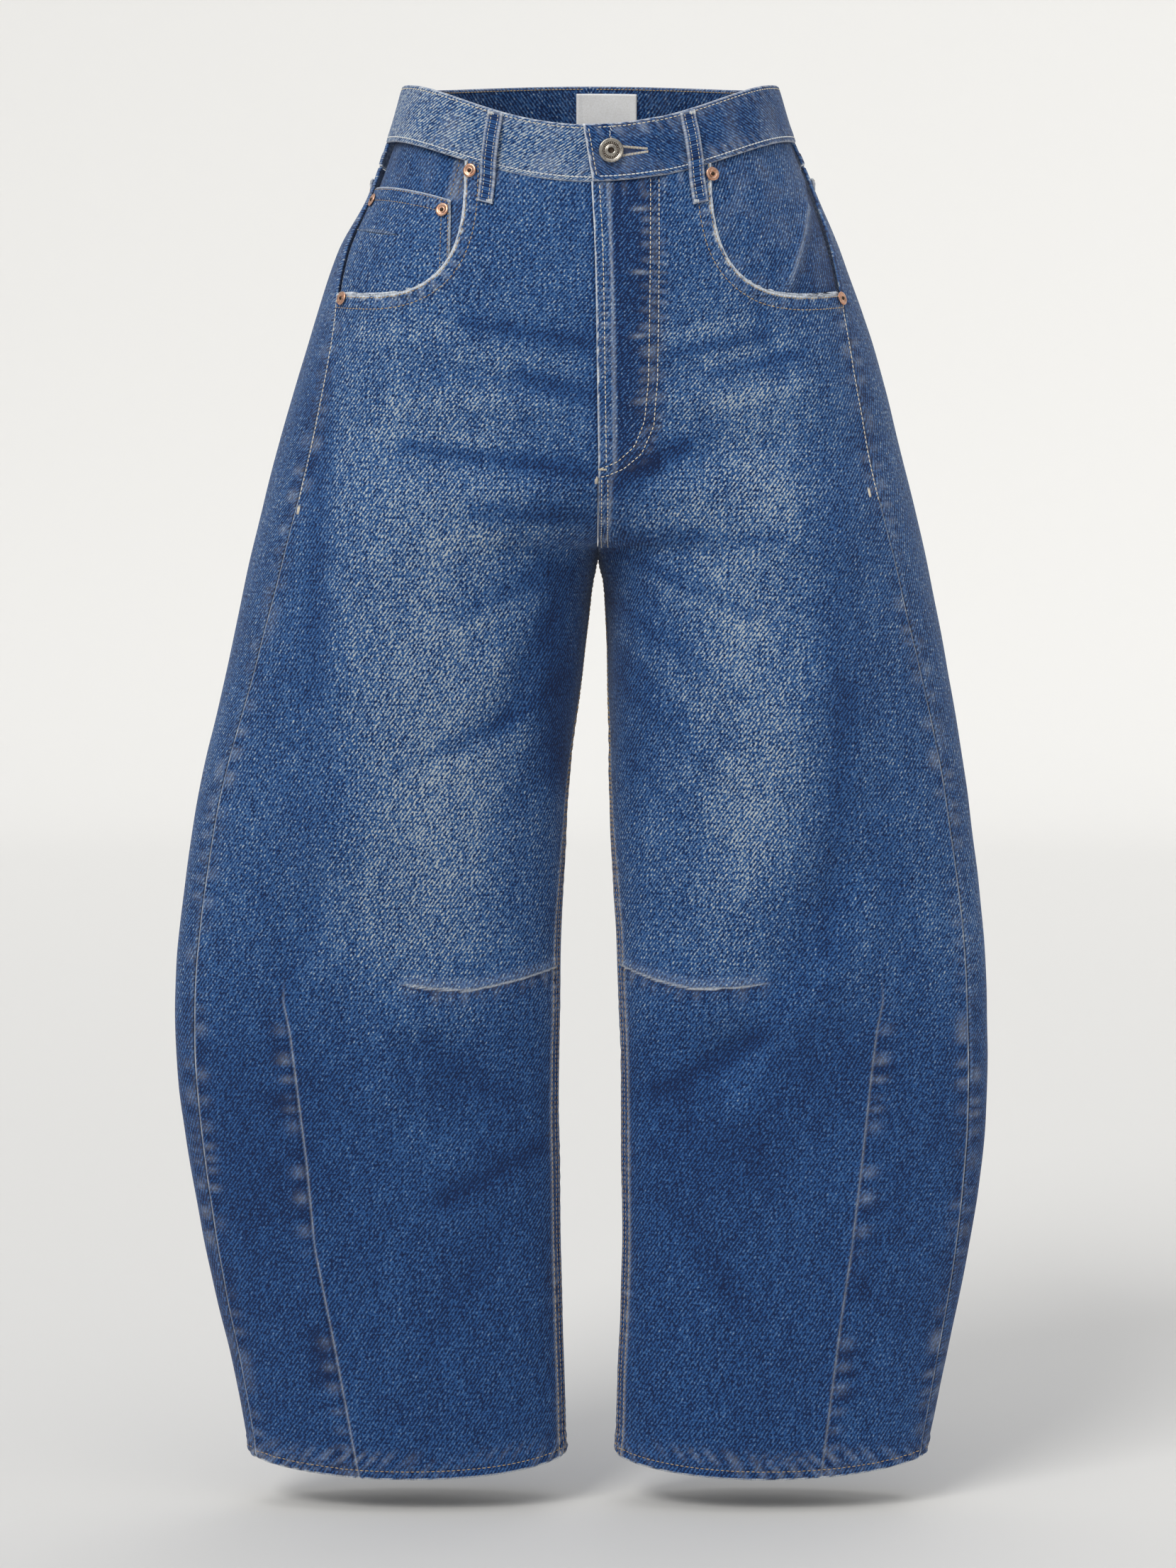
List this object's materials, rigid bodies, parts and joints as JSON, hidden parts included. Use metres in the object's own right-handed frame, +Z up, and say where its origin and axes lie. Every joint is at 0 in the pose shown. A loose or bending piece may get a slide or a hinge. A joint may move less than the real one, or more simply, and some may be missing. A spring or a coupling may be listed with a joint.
{
  "type": "barrel leg trousers",
  "caption": "Blue denim trousers with wide legs that curve out at the knee and in at the hem, hollow and held at the waist as worn.",
  "frame": {"origin": "middle of the waist opening, level with the top of the waistband at the hips, where the wearer's waist holds it", "axes": "+Z up, from the hems to the waist; -Y is the front; +X is the wearer's left"},
  "size_m": [0.575, 0.242, 0.9841],
  "materials": {
    "denim": "washed cotton twill, matt",
    "waistband_denim": "washed cotton twill, folded double, matt",
    "label_tape": "woven tape, satin",
    "thread": "cotton sewing thread",
    "copper": "pressed copper, worn satin",
    "pewter": "aged plated alloy"
  },
  "bodies": {
    "root": {"front_right": "denim", "back_right": "denim", "yoke_right": "denim", "waistband_right": "waistband_denim", "pocket_facing_right": "denim", "back_pocket_right": "denim", "front_left": "denim", "back_left": "denim", "yoke_left": "denim", "waistband_left": "waistband_denim", "pocket_facing_left": "denim", "back_pocket_left": "denim", "coin_pocket": "denim", "fly_shield": "denim", "label": "label_tape", "belt_loop_front_right": "denim", "belt_loop_front_left": "denim", "belt_loop_back_right": "denim", "belt_loop_back_left": "denim", "belt_loop_back_middle": "denim", "rivet_pocket_top_right": "copper", "rivet_pocket_top_left": "copper", "rivet_pocket_side_right": "copper", "rivet_pocket_side_left": "copper", "rivet_coin_inner": "copper", "rivet_coin_outer": "copper", "waist_button": "pewter"}
  },
  "joints": []
}
